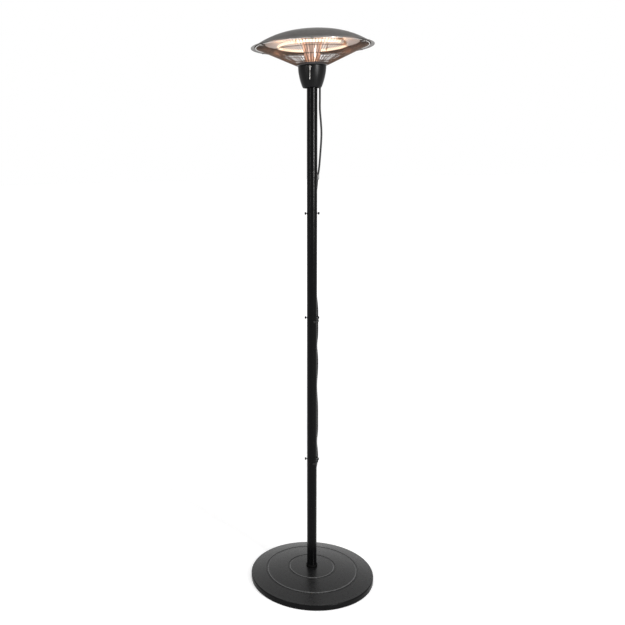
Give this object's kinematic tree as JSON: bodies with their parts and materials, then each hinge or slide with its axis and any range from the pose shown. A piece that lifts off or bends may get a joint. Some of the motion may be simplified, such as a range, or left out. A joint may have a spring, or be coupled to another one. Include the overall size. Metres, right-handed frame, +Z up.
{
  "type": "patio heater",
  "caption": "Free-standing electric patio heater: ring lamp behind a cone-shaped wire guard under a shallow dome shade, on a slim jointed pole and a heavy round base, with a pull-cord switch.",
  "frame": {"origin": "centre of the base's underside, on the floor", "axes": "+Z up along the pole, -Y towards the front where the pull cord hangs, +X to the side the cable leaves"},
  "size_m": [0.488, 0.488, 2.1067],
  "materials": {
    "rubber": "matte",
    "black_steel": "satin",
    "cement": "rough",
    "base_paint": "fine textured satin",
    "pole_paint": "satin powder coat",
    "collar_paint": "satin powder coat",
    "shade_paint": "satin metallic",
    "dish_paint": "satin metallic",
    "zinc_steel": "bright zinc",
    "cast_aluminium": "as cast",
    "polished_aluminium": "polished",
    "guard_chrome": "bright plated wire",
    "nickel": "satin nickel",
    "bracket_steel": "heat tinted",
    "black_plastic": "matte",
    "grey_plastic": "matte",
    "cream_plastic": "matte",
    "red_plastic": "gloss",
    "cable_rubber": "satin",
    "wire_cover": "satin",
    "wire_sleeve": "woven glass sleeve",
    "strap": "woven hook-and-loop",
    "ceramic": "matte",
    "quartz": "clear, gold tinted",
    "filament": "glowing coil"
  },
  "bodies": {
    "stand": {"foot_ring": "rubber", "base_plate": "black_steel", "base_weight": "cement", "base_cover": "base_paint", "base_bolt": "zinc_steel", "base_washer": "zinc_steel", "base_insert": "zinc_steel", "foot_collar": "black_plastic", "pole_section_1": "pole_paint", "pole_section_2": "pole_paint", "pole_section_3": "pole_paint", "pole_section_4": "pole_paint", "joint_sleeve_1": "zinc_steel", "joint_sleeve_2": "zinc_steel", "joint_sleeve_3": "zinc_steel", "joint_screws": "black_plastic", "cable_saddle": "grey_plastic", "cable_clip_mid": "black_plastic", "cable_clip_low": "black_plastic", "collar_shell": "collar_paint", "collar_floor": "black_plastic", "collar_screws": "zinc_steel", "head_socket": "cast_aluminium", "head_socket_screws": "zinc_steel", "head_standoffs": "zinc_steel", "ring_plate": "dish_paint", "plate_screws": "zinc_steel", "switch_body": "cream_plastic", "cord_outlet": "nickel", "terminal_block": "cream_plastic", "tip_over_switch": "black_plastic", "strain_relief": "cable_rubber", "supply_wires": "wire_cover", "centre_tube": "zinc_steel", "tube_nuts": "zinc_steel", "column": "polished_aluminium", "reflector": "polished_aluminium", "top_plate": "zinc_steel", "heat_shield": "zinc_steel", "dome_shade": "shade_paint", "dome_spacers": "zinc_steel", "dome_screws": "zinc_steel", "guard_wires": "guard_chrome", "guard_rings": "guard_chrome", "guard_clips": "zinc_steel", "lamp_tube": "quartz", "lamp_filament": "filament", "lamp_end_caps": "ceramic", "lamp_bracket": "bracket_steel", "lamp_clips": "bracket_steel", "lamp_wires": "wire_sleeve", "cord_bracket": "black_plastic", "mains_cable": "cable_rubber", "cable_hank": "cable_rubber", "cable_tail": "cable_rubber", "hank_tie": "strap", "plug": "cable_rubber"},
    "pull": {"pull_cord": "nickel", "pull_knob": "nickel"},
    "slider": {"switch_slider": "red_plastic"}
  },
  "joints": [
    {"name": "pull_slide", "type": "slide", "parent": "stand", "child": "pull", "axis": [0, 0, -1], "range_m": [0, 0.01], "stiffness_N_per_m": 200, "springref_m": -0.001},
    {"name": "switch_slide", "type": "slide", "parent": "stand", "child": "slider", "axis": [0, -1, 0], "range_m": [0, 0.01]}
  ],
  "couplings": [
    {"joint": "switch_slide", "follows": "pull_slide", "ratio": 1}
  ]
}
